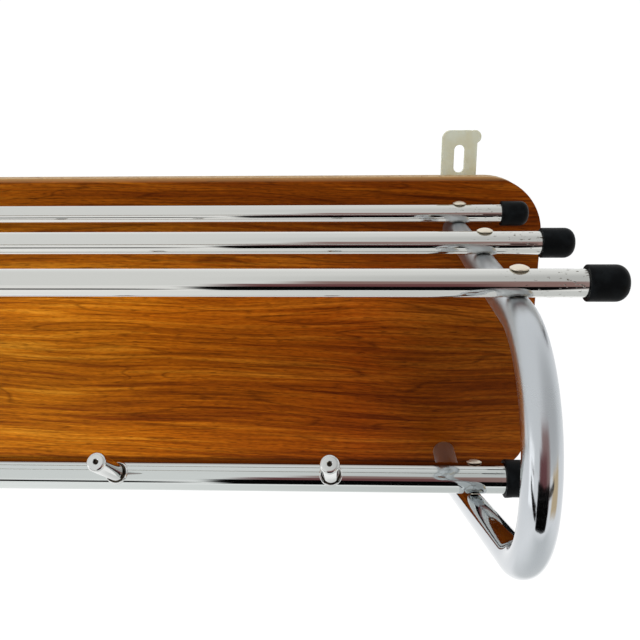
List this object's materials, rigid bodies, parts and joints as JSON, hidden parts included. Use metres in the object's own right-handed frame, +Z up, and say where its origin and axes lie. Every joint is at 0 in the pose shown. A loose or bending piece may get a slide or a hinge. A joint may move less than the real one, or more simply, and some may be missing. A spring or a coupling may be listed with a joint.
{
  "type": "wall coat rack",
  "caption": "Wall-mounted coat rack with hat shelf: rounded wood-veneer board, bent chrome tube brackets, round hat rails with black end caps, and a hook rail with tilted pegs.",
  "frame": {"origin": "middle of the board's back face, which lies on the wall", "axes": "+X along the rack to its right end as seen from the room, +Y into the wall, +Z up; the rails stand out towards -Y"},
  "size_m": [0.794, 0.3337, 0.3013],
  "materials": {
    "teak_veneer": "satin lacquered teak veneer, grain along the board",
    "core_board": "raw pale wood core, sanded edge",
    "back_liner": "plain balancing veneer, unlacquered",
    "chromed_tube": "polished chrome plate on steel tube",
    "chromed_peg": "polished chrome plate on turned steel",
    "nickel_rivet": "nickel plate, slightly yellowed",
    "zinc_steel": "zinc-plated steel",
    "black_plastic": "soft black vinyl, satin",
    "ivory_plastic": "moulded nylon, slightly yellowed, translucent"
  },
  "bodies": {
    "root": {"back_liner": "back_liner", "board_core": "core_board", "bracket_left": "chromed_tube", "bracket_right": "chromed_tube", "bracket_screws": "zinc_steel", "coat_peg_1": "chromed_peg", "coat_peg_2": "chromed_peg", "coat_peg_3": "chromed_peg", "coat_peg_4": "chromed_peg", "front_veneer": "teak_veneer", "hanger_left": "ivory_plastic", "hanger_right": "ivory_plastic", "hanger_screws": "zinc_steel", "hat_rail_cap_front_left": "black_plastic", "hat_rail_cap_front_right": "black_plastic", "hat_rail_cap_middle_left": "black_plastic", "hat_rail_cap_middle_right": "black_plastic", "hat_rail_cap_rear_left": "black_plastic", "hat_rail_cap_rear_right": "black_plastic", "hat_rail_front": "chromed_tube", "hat_rail_middle": "chromed_tube", "hat_rail_rear": "chromed_tube", "hat_rail_rivets": "nickel_rivet", "hook_rail": "chromed_tube", "hook_rail_cap_left": "black_plastic", "hook_rail_cap_right": "black_plastic", "hook_rail_rivets": "nickel_rivet", "peg_screws": "zinc_steel", "tube_plug_left_lower": "zinc_steel", "tube_plug_left_upper": "zinc_steel", "tube_plug_right_lower": "zinc_steel", "tube_plug_right_upper": "zinc_steel"}
  },
  "joints": []
}
